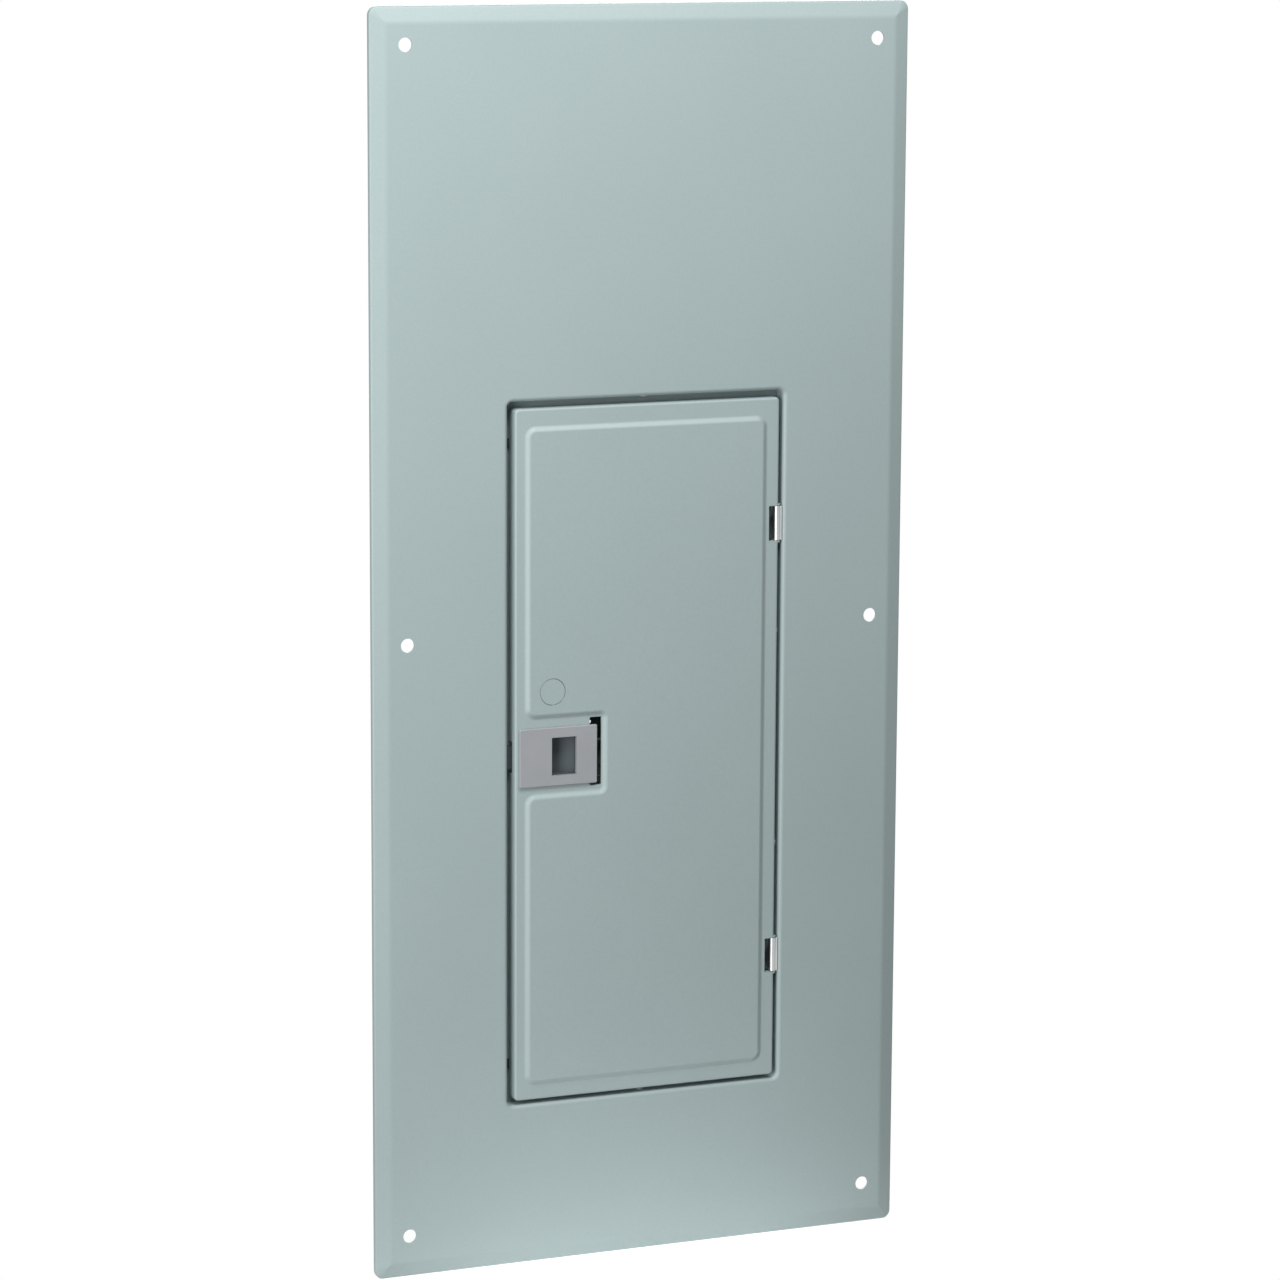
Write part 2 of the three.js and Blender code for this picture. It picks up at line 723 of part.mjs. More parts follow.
function doorPanel() {
  const knockout = {
    x: door.left + knockoutFromDoorEdge,
    z: latch.middle + latchPlateHeight / 2 + knockoutAboveLatch,
  };
  const window = prism(inset(raisedOutline(), shellLap), -cutOver, doorSheet + cutOver);
  const tongueTop = latch.middle + tongueSlotHeight / 2;
  const tongueBottom = tongueTop - tongueSlotHeight;
  const tongueRoom = tongueFront - 2 * latchRunClearance;
  const flangeRight = door.left + doorSheet + doorBendRadius;
  const cuts = [
    latchApertures(),
    rodAlongY(knockout.x, knockout.z, knockoutDiameter / 2, -raisedHeight - cutOver, doorSheet),
    box(door.left - cutOver, flangeRight, tongueRoom, doorDepth + cutOver, tongueBottom, tongueTop),
    ...Object.values(hingeHeights).map(hingeNotch),
  ];
  const slug = rodAlongY(
    knockout.x,
    knockout.z,
    knockoutDiameter / 2 - fitGap,
    knockoutSetback - raisedHeight,
    knockoutSetback - raisedHeight + doorSheet,
  );
  const ears = Object.values(hingeHeights).map(hingeEars);
  const shell = doorTray().subtract(window).add(raisedShell());
  const bored = shell.subtract(wasm.Manifold.union(cuts)).add(wasm.Manifold.union(ears));
  return { panel: bored, slug };
}

// The finger slide: face plate, pocket with a ramped floor, ears behind the sheet, and the tongue.
function latchSlide() {
  const area = {
    left: latch.left,
    right: latch.right,
    bottom: latch.middle - latchPlateHeight / 2,
    top: latch.middle + latchPlateHeight / 2,
  };
  const plateProfile = [
    [latchPlateChamfer, latchFront],
    [0, latchFront + latchPlateChamfer],
    [0, -fitGap],
  ];
  const plate = loft(ringsOf(rectangle(area, latchPlateCornerRadius), plateProfile, 2));
  const outer = [finger.left - latchWall, finger.right + latchWall];
  const low = finger.bottom - latchWall;
  const high = finger.top + latchWall;
  const body = box(...outer, latchFront + latchPlateChamfer, latchBack, low, high);
  const floor = latchFront + fingerHoleDepth;
  const pocket = section(
    [
      [finger.left, latchFront - cutOver],
      [finger.right, latchFront - cutOver],
      [finger.right, latchFront + fingerHoleRampDepth],
      [finger.left + fingerHoleFloorWidth, floor],
      [finger.left, floor],
    ],
    finger.bottom,
    finger.top,
  );
  const tip = opening.left + tongueShortOfWall;
  const tongueRoot = finger.left - latchWall / 2;
  const tongue = section(
    [
      [tongueRoot, tongueFront],
      [tongueRoot, tongueBack],
      [tip + tongueTipBevel, tongueBack],
      [tip, tongueFront + tongueTipFlat],
      [tip, tongueFront],
    ],
    latch.middle - tongueHeight / 2,
    latch.middle + tongueHeight / 2,
  );
  const earFront = doorSheet + fitGap;
  const earLeft = finger.right + latchWall - latchEarWidth;
  const ears = box(
    earLeft,
    earLeft + latchEarWidth,
    earFront,
    earFront + latchWall,
    finger.bottom - latchEarRise,
    finger.top + latchEarRise,
  );
  return plate.add(body).add(ears).add(tongue).subtract(pocket);
}

// A hat-shaped strap welded behind the door, which holds the slide to the door's sheet.
function latchGuide() {
  const left = (finger.left + finger.right - latchGuideWidth) / 2;
  const right = left + latchGuideWidth;
  const crown = latchBack + fitGap;
  const high = finger.top + latchEarRise + latchGuideRoom;
  const low = finger.bottom - latchEarRise - latchGuideRoom;
  const feet = doorSheet + fitGap;
  return wasm.Manifold.union([
    box(left, right, crown, crown + latchGuideSheet, low - latchGuideSheet, high + latchGuideSheet),
    box(left, right, feet, crown + latchGuideSheet, high, high + latchGuideSheet),
    box(left, right, feet, crown + latchGuideSheet, low - latchGuideSheet, low),
    box(left, right, feet, feet + latchGuideSheet, high, high + latchGuideFoot),
    box(left, right, feet, feet + latchGuideSheet, low - latchGuideFoot, low),
  ]);
}

function addDoor() {
  const { panel, slug } = doorPanel();
  addPiece("door_panel", panel, greyEnamel);
  addPiece("lock_knockout", slug, greyEnamel);
  addPiece("latch_slide", latchSlide(), greyPlastic);
  addPiece("latch_guide", latchGuide(), zincPlate);
  const cardTop = raised.top - raisedBevel - cardFromRaisedTop;
  const middle = (raised.left + raised.right) / 2;
  const face = doorSheet - raisedHeight + fitGap;
  const card = box(
    middle - cardWidth / 2,
    middle + cardWidth / 2,
    face,
    face + cardThickness,
    cardTop - cardHeight,
    cardTop,
  );
  addPiece("directory_card", card, whiteCard);
}

// Rubber stops on the dead front's ledge, under the free edge of the door.
function addBumpers() {
  const front = doorDepth + fitGap;
  const stop = rodAlongY(0, 0, bumperDiameter / 2, front, ledgeFront - fitGap);
  const x = door.left + doorSheet / 2;
  addPiece("door_bumper_upper", stop, blackRubber, [x, 0, door.top - bumperFromDoorEnd]);
  addPiece("door_bumper_lower", stop, blackRubber, [x, 0, door.bottom + bumperFromDoorEnd]);
}

const holes = rivetHoles();
addPiece("front_pan", frontPan(holes), greyEnamel);
addPiece("dead_front", deadFront(holes), greyEnamel);
addTwistouts();
addRivets();
addHinges();
addDoor();
addBumpers();

const middle = new THREE.Box3().setFromObject(group).getCenter(new THREE.Vector3());
group.position.copy(middle).negate();

export default group;
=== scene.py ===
import math

import bmesh
import bpy
from mathutils import Matrix, Vector


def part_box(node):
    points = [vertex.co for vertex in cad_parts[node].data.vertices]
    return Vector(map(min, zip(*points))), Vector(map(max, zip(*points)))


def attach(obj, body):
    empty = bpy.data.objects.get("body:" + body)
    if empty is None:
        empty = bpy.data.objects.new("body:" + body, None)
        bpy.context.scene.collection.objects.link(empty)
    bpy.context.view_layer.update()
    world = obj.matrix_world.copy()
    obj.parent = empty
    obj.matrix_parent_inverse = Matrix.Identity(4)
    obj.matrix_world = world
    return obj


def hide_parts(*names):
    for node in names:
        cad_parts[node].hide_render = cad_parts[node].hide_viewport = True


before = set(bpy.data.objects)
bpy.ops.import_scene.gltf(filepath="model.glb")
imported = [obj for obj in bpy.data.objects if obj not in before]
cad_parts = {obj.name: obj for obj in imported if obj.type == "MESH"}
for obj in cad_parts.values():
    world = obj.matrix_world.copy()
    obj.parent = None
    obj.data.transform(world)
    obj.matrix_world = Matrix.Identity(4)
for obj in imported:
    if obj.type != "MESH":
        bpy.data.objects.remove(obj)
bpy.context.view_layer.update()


# ---- Trim ----
# The trim is one stamping of 1.5 mm sheet steel in baked grey enamel. Its rim is bevelled back towards the
# wall, its door opening is flanged inwards, and six screws through its flat front hold it to the enclosure.
def cad_mm(node):
    low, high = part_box(node)
    return low * 1000, high * 1000


def rectangle(left, right, bottom, top, radius):
    """Corners (x, z, radius) of a rectangle, anticlockwise from the front."""
    return [(left, bottom, radius), (right, bottom, radius), (right, top, radius), (left, top, radius)]


def edges_at(corners, i):
    before, here, after = corners[i - 1], corners[i], corners[(i + 1) % len(corners)]
    into = Vector((here[0] - before[0], here[1] - before[1])).normalized()
    out = Vector((after[0] - here[0], after[1] - here[1])).normalized()
    return into, out


def inset(corners, distance):
    """The outline moved inwards; outer corners tighten and inner ones widen."""
    moved = []
    for i, (x, z, radius) in enumerate(corners):
        into, out = edges_at(corners, i)
        turn = into.x * out.y - into.y * out.x
        moved.append((x - distance * (into.y + out.y), z + distance * (into.x + out.x),
                      max(radius - turn * distance, 0.25)))
    return moved


def rounded(corners, steps):
    points = []
    for i, (x, z, radius) in enumerate(corners):
        into, out = edges_at(corners, i)
        for k in range(steps + 1):
            angle = k / steps * math.pi / 2
            along, across = radius * (math.sin(angle) - 1), radius * (1 - math.cos(angle))
            points.append((x + into.x * along + out.x * across, z + into.y * along + out.y * across))
    return points


def bent(path, steps=5):
    """The inner points of a path of (a, b, radius), with each corner bent to its radius."""
    points = []
    for before, here, after in zip(path, path[1:], path[2:]):
        corner, radius = Vector(here[:2]), here[2]
        u, v = Vector(before[:2]) - corner, Vector(after[:2]) - corner
        room = 0.49 * min(u.length, v.length)
        u.normalize()
        v.normalize()
        half = u.angle(v) / 2
        run = min(radius / math.tan(half), room)
        centre = corner + (u + v).normalized() * (run / math.cos(half))
        start, end = corner + u * run - centre, corner + v * run - centre
        swing = start.angle(end)
        for k in range(steps + 1):
            from_start, from_end = math.sin((1 - k / steps) * swing), math.sin(k / steps * swing)
            point = centre + (start * from_start + end * from_end) / math.sin(swing)
            points.append((point.x, point.y))
    return points


def rings_of(corners, profile, corner_steps):
    """Rings that follow an outline: a profile point is (inset from the outline, depth y)."""
    return [[(x, depth, z) for x, z in rounded(inset(corners, distance), corner_steps)]
            for distance, depth in profile]


def skin(mesh, rings, loop=False, cap=False):
    """Adds bands of quads through the rings to a bmesh, and returns the rings' vertices."""
    made = [[mesh.verts.new(point) for point in ring] for ring in rings]
    bands = list(zip(made, made[1:] + made[:1])) if loop else list(zip(made, made[1:]))
    for near, far in bands:
        for i in range(len(near)):
            j = (i + 1) % len(near)
            mesh.faces.new((near[i], near[j], far[j], far[i]))
    if cap:
        mesh.faces.new(made[0])
        mesh.faces.new(made[-1])
    return made


def placed(name, data):
    """A new object in the scene, for a mesh, a light or a camera."""
    thing = bpy.data.objects.new(name, data)
    bpy.context.scene.collection.objects.link(thing)
    return thing


def surface(name, mesh):
    """An object from a bmesh in millimetres."""
    bmesh.ops.scale(mesh, vec=(0.001,) * 3, verts=mesh.verts)
    data = bpy.data.meshes.new(name)
    mesh.to_mesh(data)
    mesh.free()
    return placed(name, data)


def solid(name, mesh):
    """An object from a closed bmesh in millimetres, with its faces pointing outwards."""
    bmesh.ops.recalc_face_normals(mesh, faces=mesh.faces)
    if mesh.calc_volume(signed=True) < 0:
        bmesh.ops.reverse_faces(mesh, faces=mesh.faces)
    return surface(name, mesh)


def block(mesh, x0, x1, y0, y1, z0, z1, radius=0.0):
    """Adds a block whose four edges along Y may be rounded."""
    corners = rectangle(x0, x1, z0, z1, max(radius, 0.01))
    skin(mesh, rings_of(corners, [(0, y0), (0, y1)], 4 if radius else 1), cap=True)


def circle(a, b, radius, sides):
    """Corners of a many-sided circle about (a, b)."""
    turns = (math.tau * k / sides for k in range(sides))
    return [(a + radius * math.cos(turn), b + radius * math.sin(turn)) for turn in turns]


def rod(mesh, x, z, radius, y0, y1, sides=64):
    """Adds a round bar along Y."""
    skin(mesh, [[(u, y, v) for u, v in circle(x, z, radius, sides)] for y in (y0, y1)], cap=True)


def post(mesh, outline, z0, z1):
    """Adds a bar along Z whose section is an outline of (x, y)."""
    skin(mesh, [[(x, y, z) for x, y in outline] for z in (z0, z1)], cap=True)


def settled(piece):
    """Turns a piece's modifiers into its plain mesh."""
    shown = piece.evaluated_get(bpy.context.evaluated_depsgraph_get())
    data = bpy.data.meshes.new_from_object(shown)
    piece.modifiers.clear()
    piece.data = data
    data.name = piece.name
    return piece


def thickened(piece, sheet, offset, even=True):
    """Sheet metal from a bare surface; the offset puts it before, across or behind the surface."""
    modifier = piece.modifiers.new("sheet", "SOLIDIFY")
    modifier.thickness, modifier.offset, modifier.use_even_offset = sheet * 0.001, offset, even
    return settled(piece)


def combined(piece, tool, operation):
    """The piece with a tool added or cut away; the tool is used up."""
    modifier = piece.modifiers.new("join", "BOOLEAN")
    modifier.object, modifier.operation, modifier.solver, modifier.use_self = tool, operation, "EXACT", True
    settled(piece)
    bpy.data.objects.remove(tool)
    return piece


def eased(piece, width, segments=2, limit=38):
    """Eases the sharp edges, and lets the broad faces rule the shading."""
    modifier = piece.modifiers.new("ease", "BEVEL")
    modifier.width, modifier.segments = width * 0.001, segments
    modifier.limit_method, modifier.angle_limit = "ANGLE", math.radians(limit)
    modifier.use_clamp_overlap = True
    settled(piece)
    piece.data.shade_smooth()
    weigh = piece.modifiers.new("weigh", "WEIGHTED_NORMAL")
    weigh.weight, weigh.keep_sharp = 60, False
    return settled(piece)


class Wire:
    """A socket in a finish. Arithmetic on it adds Math nodes."""

    def __init__(self, finish, socket):
        self.finish, self.socket = finish, socket

    def __add__(self, other):
        return self.finish.maths("ADD", self, other)

    def __sub__(self, other):
        return self.finish.maths("SUBTRACT", self, other)

    def __rsub__(self, other):
        return self.finish.maths("SUBTRACT", other, self)

    def __mul__(self, other):
        return self.finish.maths("MULTIPLY", self, other)

    def __truediv__(self, other):
        return self.finish.maths("DIVIDE", self, other)

    def __lt__(self, other):
        return self.finish.maths("LESS_THAN", self, other)

    def __gt__(self, other):
        return self.finish.maths("GREATER_THAN", self, other)

    def between(self, low, high):
        """0 below low, 1 above high, and smooth between them."""
        return self.finish.node("ShaderNodeMapRange", {"interpolation_type": "SMOOTHSTEP"},
                                {"Value": self, "From Min": low, "From Max": high})

    __radd__, __rmul__ = __add__, __mul__


def one_of(sockets, key):
    """A socket by its number, its identifier or its name."""
    return next((socket for socket in sockets if socket.identifier == key), None) or sockets[key]


class Finish:
    """A material, made of nodes, whose patterns follow the object's own coordinates in metres."""

    def __init__(self, name, **shader):
        self.material = bpy.data.materials.new(name)
        self.material.use_nodes = True
        self.tree = self.material.node_tree
        self.tree.nodes.clear()
        self.place = self.node("ShaderNodeTexCoord", output="Object")
        self.shader = self.tree.nodes.new("ShaderNodeBsdfPrincipled")
        surface = self.tree.nodes.new("ShaderNodeOutputMaterial")
        self.tree.links.new(self.shader.outputs[0], surface.inputs["Surface"])
        self.feed(self.shader, {name.replace("_", " "): value for name, value in shader.items()})

    def feed(self, made, sockets):
        for key, value in sockets.items():
            socket = one_of(made.inputs, key)
            if isinstance(value, Wire):
                self.tree.links.new(value.socket, socket)
            else:
                socket.default_value = value

    def node(self, kind, settings=None, sockets=None, output=0):
        made = self.tree.nodes.new(kind)
        for key, value in (settings or {}).items():
            setattr(made, key, value)
        self.feed(made, sockets or {})
        return Wire(self, one_of(made.outputs, output))

    def maths(self, operation, *operands):
        return self.node("ShaderNodeMath", {"operation": operation}, dict(enumerate(operands)))

    def noise(self, scale, detail=2.0, stretch=(1, 1, 1)):
        where = self.node("ShaderNodeMapping", None, {"Vector": self.place, "Scale": stretch})
        return self.node("ShaderNodeTexNoise", None,
                         {"Vector": where, "Scale": scale, "Detail": detail, "Roughness": 0.5})

    def blend(self, share, low, high):
        """A colour between two colours."""
        return self.node("ShaderNodeMix", {"data_type": "RGBA"},
                         {"Factor_Float": share, "A_Color": low, "B_Color": high}, "Result_Color")

    def bump(self, height, distance):
        return self.node("ShaderNodeBump", None, {"Height": height, "Distance": distance, "Strength": 1.0})

    def paint(self, **sockets):
        self.feed(self.shader, {name.replace("_", " "): value for name, value in sockets.items()})
        return self.material


def shade(red, green, blue):
    """A colour as it looks on a screen, 0 to 255, as a linear colour."""
    return (*(((v / 255 + 0.055) / 1.055) ** 2.4 for v in (red, green, blue)), 1.0)


def enamel_finish():
    coat = Finish("grey_enamel", IOR=1.5, Coat_Weight=0.1, Coat_Roughness=0.3)
    cloud = coat.noise(9)
    fleck = coat.noise(620, 3)
    peel = coat.noise(430, 2)
    grain = coat.noise(1500, 2)
    colour = coat.blend(cloud * 0.35 + fleck * 0.65, shade(151, 167, 167), shade(166, 181, 181))
    return coat.paint(
        Base_Color=colour,
        Roughness=0.4 + cloud * 0.06 + grain * 0.08,
        Normal=coat.bump(peel * 0.7 + grain * 0.3, 0.00003),
    )


ENAMEL = enamel_finish()
SHEET, CUT_EDGE = 1.5, 0.3
CORNER, OPENING_CORNER = 6.0, 4.0
RIM_BEVEL, RIM_DROP, RIM_BACK, RIM_SWELL = 10.8, 3.02, 6.5, 12
FLANGE_BACK, FLANGE_BEND = 12.5, 3.0
SCREW_HOLE, SCREW_SIDE, SCREW_TOP, SCREW_MIDDLE, SCREW_BOTTOM = 9.5, 24.1, 25.0, 8.0, 29.0
TONGUE_SLOT_FRONT, TONGUE_SLOT_BACK, TONGUE_SLOT_HALF = 3.4, 11.5, 11
TRAY_OVER = 3.0

pan_low, pan_high = cad_mm("front_pan")
tray_low, tray_high = cad_mm("dead_front")
latch_low, latch_high = cad_mm("latch_slide")
FACE = pan_low.y
LEFT, RIGHT = tray_low.x + TRAY_OVER, tray_high.x - TRAY_OVER
BOTTOM, TOP = tray_low.z + TRAY_OVER, tray_high.z - TRAY_OVER
LATCH_Z = (latch_low.z + latch_high.z) / 2
opening = rectangle(LEFT, RIGHT, BOTTOM, TOP, OPENING_CORNER)


def tongue_slot(mesh, front, back):
    """Adds the block that cuts the latch tongue's slot through the opening's left wall."""
    block(mesh, LEFT - 4, LEFT + 1, FACE + front, FACE + back,
          LATCH_Z - TONGUE_SLOT_HALF, LATCH_Z + TONGUE_SLOT_HALF)


def trim():
    outer = rectangle(pan_low.x, pan_high.x, pan_low.z, pan_high.z, CORNER)
    rim = bent([
        (40, SHEET, 0), (RIM_BEVEL, SHEET, RIM_SWELL), (SHEET, RIM_DROP + 1.1, 0.6), (SHEET, RIM_BACK, CUT_EDGE),
        (0, RIM_BACK, CUT_EDGE), (0, RIM_DROP, 1.6), (RIM_BEVEL, 0, RIM_SWELL), (40, 0, 0),
    ])
    lip = bent([
        (-30, 0, 0), (0, 0, FLANGE_BEND), (0, FLANGE_BACK, CUT_EDGE), (-SHEET, FLANGE_BACK, CUT_EDGE),
        (-SHEET, SHEET, FLANGE_BEND - SHEET), (-30, SHEET, 0),
    ])
    mesh = bmesh.new()
    skin(mesh, rings_of(opening, [(d, y + FACE) for d, y in lip], 10)
         + rings_of(outer, [(d, y + FACE) for d, y in rim], 10), loop=True)
    pan = solid("front_trim", mesh)
    holes = bmesh.new()
    for x in (pan_low.x + SCREW_SIDE, pan_high.x - SCREW_SIDE):
        for z in (pan_high.z - SCREW_TOP, SCREW_MIDDLE, pan_low.z + SCREW_BOTTOM):
            rod(holes, x, z, SCREW_HOLE / 2, FACE - 2, FACE + SHEET + 2)
    tongue_slot(holes, TONGUE_SLOT_FRONT, TONGUE_SLOT_BACK)
    return eased(combined(pan, solid("holes", holes), "DIFFERENCE"), 0.25)


front_trim = trim()
front_trim.data.materials.append(ENAMEL)
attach(front_trim, "cover")
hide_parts("front_pan")


# ---- Dead front ----
# The dead front is a stepped tray of 1.2 mm sheet steel behind the door, riveted to the opening's flange.
# Its floor has two tall breaker windows with a rib between them, and the main breaker's window above.
TRAY_SHEET, TRAY_GAP = 1.2, 1.8
TRAY_LEDGE, TRAY_LEDGE_FRONT = 10.0, 12.8
TRAY_FLOOR, TRAY_WALL_FRONT = 24.0, 5.0
TIGHT_BEND, TRAY_BEND = 1.2, 2.4
SLIT, WINDOW_CORNER = 0.8, 1.5

left_low, left_high = cad_mm("twistout_left_15")
top_low, top_high = cad_mm("twistout_left_01")
right_low, right_high = cad_mm("twistout_right_15")
main_low, main_high = cad_mm("main_twistout")


def dead_front():
    outer, back = TRAY_GAP + TRAY_SHEET, TRAY_FLOOR + TRAY_SHEET
    inner = TRAY_LEDGE - TRAY_SHEET
    floor_front, *walls = bent([
        (60, TRAY_FLOOR, 0), (TRAY_LEDGE, TRAY_FLOOR, TIGHT_BEND), (TRAY_LEDGE, TRAY_LEDGE_FRONT, TRAY_BEND),
        (-TRAY_GAP, TRAY_LEDGE_FRONT, 0.8), (-TRAY_GAP, TRAY_WALL_FRONT, CUT_EDGE),
        (-outer, TRAY_WALL_FRONT, CUT_EDGE), (-outer, TRAY_LEDGE_FRONT + TRAY_SHEET, 2.0),
        (inner, TRAY_LEDGE_FRONT + TRAY_SHEET, TIGHT_BEND), (inner, back, TRAY_BEND), (60, back, 0),
    ])
    mesh = bmesh.new()
    skin(mesh, rings_of(opening, [(d, y + FACE) for d, y in [floor_front, *walls]], 8), cap=True)
    tray = solid("dead_front_tray", mesh)
    cuts = bmesh.new()
    y0, y1 = FACE + TRAY_FLOOR - 2, FACE + back + 2
    top = top_high.z + SLIT / 2
    for low, high in ((left_low, left_high), (right_low, right_high)):
        block(cuts, low.x - SLIT, high.x + SLIT, y0, y1, left_low.z - SLIT / 2, top, WINDOW_CORNER)
    block(cuts, main_low.x - SLIT, main_high.x + SLIT, y0, y1,
          main_low.z - SLIT, main_high.z + SLIT, WINDOW_CORNER)
    tongue_slot(cuts, 4, TONGUE_SLOT_BACK)
    return eased(combined(tray, solid("cuts", cuts), "DIFFERENCE"), 0.2)


dead_front_tray = dead_front()
dead_front_tray.data.materials.append(ENAMEL)
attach(dead_front_tray, "cover")
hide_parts("dead_front")


# ---- Twist-outs ----
# Each breaker place is closed by a plate lanced out of the dead front, with a pressed bead and a slot for
# the screwdriver that twists it out. Two thin necks hold it, and the plates stand in two equal columns.
ROWS, PITCH = 15, 25.4
PLATE_SHEET, PLATE_CORNER, SHEAR = 1.1, 1.2, 0.3
BEAD_WIDTH, BEAD_HEIGHT, BEAD_RISE = 32, 12, 0.8
MAIN_BEAD_WIDE, MAIN_BEAD_TALL = 0.7, 0.55
SLOT_HALF_WIDTH, SLOT_HALF_HEIGHT, SLOT_CORNER = 4, 1, 0.9
NECK, NECK_SETBACK, NECK_ROOT = 3.0, 0.15, 0.4


def pressed(share):
    """How far a pressing has risen at a share of its bevel: a soft S that is steeper in its middle."""
    return share * share * (3 - 2 * share)


def lanced_plate(name, width, height, bead_width, bead_height):
    """A plate about its own middle, whose front face is at y = 0."""
    half_w, half_h = width / 2 + SHEAR, height / 2 + SHEAR
    slot = rectangle(-SLOT_HALF_WIDTH, SLOT_HALF_WIDTH, -SLOT_HALF_HEIGHT, SLOT_HALF_HEIGHT, SLOT_CORNER)
    corners = rectangle(-bead_width / 2, bead_width / 2, -bead_height / 2, bead_height / 2, bead_height / 2.2)
    bead = [(BEAD_RISE * (0.4 + 1.2 * s), -BEAD_RISE * pressed(s)) for s in (1, 0.75, 0.5, 0.25, 0)]
    edge = rectangle(-half_w, half_w, -half_h, half_h, PLATE_CORNER)
    mesh = bmesh.new()
    skin(mesh, rings_of(slot, [(0, -BEAD_RISE)], 5) + rings_of(corners, bead, 5) + rings_of(edge, [(0, 0)], 5))
    plate = thickened(solid(name, mesh), PLATE_SHEET, 0, even=False)
    front = min(v.co.y for v in plate.data.vertices if abs(v.co.z) > (half_h - 1.5) * 0.001)
    plate.data.transform(Matrix.Translation((0, -front, 0)))
    necks = bmesh.new()
    for sign in (-1, 1):
        ends = sorted((sign * (half_w - NECK_ROOT), sign * (half_w + SLIT - SHEAR)))
        block(necks, *ends, NECK_SETBACK, PLATE_SHEET - NECK_SETBACK, -NECK / 2, NECK / 2)
    combined(plate, solid("necks", necks), "UNION")
    return eased(plate, 0.12)


def socket_of(tree, name):
    return next(item.identifier for item in tree.interface.items_tree
                if item.name == name and item.in_out == "INPUT")


def geometry_tree(name, inputs):
    """A Geometry Nodes tree with named inputs: its group input and output, and a maker of linked nodes."""
    tree = bpy.data.node_groups.new(name, "GeometryNodeTree")
    tree.interface.new_socket("Geometry", in_out="OUTPUT", socket_type="NodeSocketGeometry")
    tree.interface.new_socket("Geometry", in_out="INPUT", socket_type="NodeSocketGeometry")
    for label, kind in inputs:
        tree.interface.new_socket(label, in_out="INPUT", socket_type=f"NodeSocket{kind}")
    given = tree.nodes.new("NodeGroupInput")

    def made(kind, settings=None, sockets=None):
        node = tree.nodes.new(kind)
        for key, value in (settings or {}).items():
            setattr(node, key, value)
        for key, value in (sockets or {}).items():
            if isinstance(value, bpy.types.NodeSocket):
                tree.links.new(value, node.inputs[key])
            else:
                node.inputs[key].default_value = value
        return node

    def finish(geometry):
        real = made("GeometryNodeRealizeInstances", None, {"Geometry": geometry})
        coated = made("GeometryNodeSetMaterial", None,
                      {"Geometry": real.outputs[0], "Material": given.outputs["Material"]})
        ending = tree.nodes.new("NodeGroupOutput")
        tree.links.new(coated.outputs[0], ending.inputs["Geometry"])
        return tree

    return given.outputs, made, finish


def grown(name, tree, values, source=None):
    """The plain mesh that a tree makes from its inputs, as a new object."""
    piece = placed(name, source or bpy.data.meshes.new(name))
    modifier = piece.modifiers.new("grow", "NODES")
    modifier.node_group = tree
    for label, value in values.items():
        modifier[socket_of(tree, label)] = value
    return settled(piece)


def twistout_tree():
    given, made, finish = geometry_tree("twistout_columns", [
        ("Plate", "Object"), ("Rows", "Int"), ("Pitch", "Float"), ("Columns Apart", "Float"),
        ("First", "Vector"), ("Set Back", "Float"), ("Seed", "Int"), ("Material", "Material")])
    down = made("ShaderNodeCombineXYZ", None, {"Z": given["Pitch"]})
    across = made("ShaderNodeCombineXYZ", None, {"X": given["Columns Apart"]})
    column = made("GeometryNodeMeshLine", None,
                  {"Count": given["Rows"], "Start Location": given["First"], "Offset": down.outputs[0]})
    beside = made("GeometryNodeTransform", None,
                  {"Geometry": column.outputs[0], "Translation": across.outputs[0]})
    both = made("GeometryNodeJoinGeometry")
    for line in (column, beside):
        both.id_data.links.new(line.outputs[0], both.inputs[0])
    uneven = made("FunctionNodeRandomValue", {"data_type": "FLOAT"},
                  {2: 0.0, 3: given["Set Back"], "Seed": given["Seed"]})
    back = made("ShaderNodeCombineXYZ", None, {"Y": uneven.outputs[1]})
    spread = made("GeometryNodeSetPosition", None, {"Geometry": both.outputs[0], "Offset": back.outputs[0]})
    plate = made("GeometryNodeObjectInfo", None, {"Object": given["Plate"]})
    many = made("GeometryNodeInstanceOnPoints", None,
                {"Points": spread.outputs[0], "Instance": plate.outputs["Geometry"]})
    return finish(many.outputs[0])


plate = lanced_plate("twistout_plate", top_high.x - top_low.x, top_high.z - top_low.z, BEAD_WIDTH, BEAD_HEIGHT)
plate_face = (FACE + TRAY_FLOOR) * 0.001
twistouts = grown("twistouts", twistout_tree(), {
    "Plate": plate, "Rows": ROWS, "Pitch": PITCH * 0.001, "Seed": 4, "Set Back": 0.00006, "Material": ENAMEL,
    "Columns Apart": (right_low.x - left_low.x) * 0.001,
    "First": ((left_low.x + left_high.x) * 0.0005, plate_face, (left_low.z + left_high.z) * 0.0005),
})
bpy.data.objects.remove(plate)
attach(twistouts, "cover")
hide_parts(*(f"twistout_{side}_{row:02d}"
                         for side in ("left", "right") for row in range(1, ROWS + 1)))

main_width, main_height = main_high.x - main_low.x, main_high.z - main_low.z
main_plate = lanced_plate("main_breaker_plate", main_width, main_height,
                          main_width * MAIN_BEAD_WIDE, main_height * MAIN_BEAD_TALL)
main_plate.data.transform(Matrix.Translation(
    ((main_low.x + main_high.x) * 0.0005, plate_face, (main_low.z + main_high.z) * 0.0005)))
main_plate.data.materials.append(ENAMEL)
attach(main_plate, "cover")
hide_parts("main_twistout")


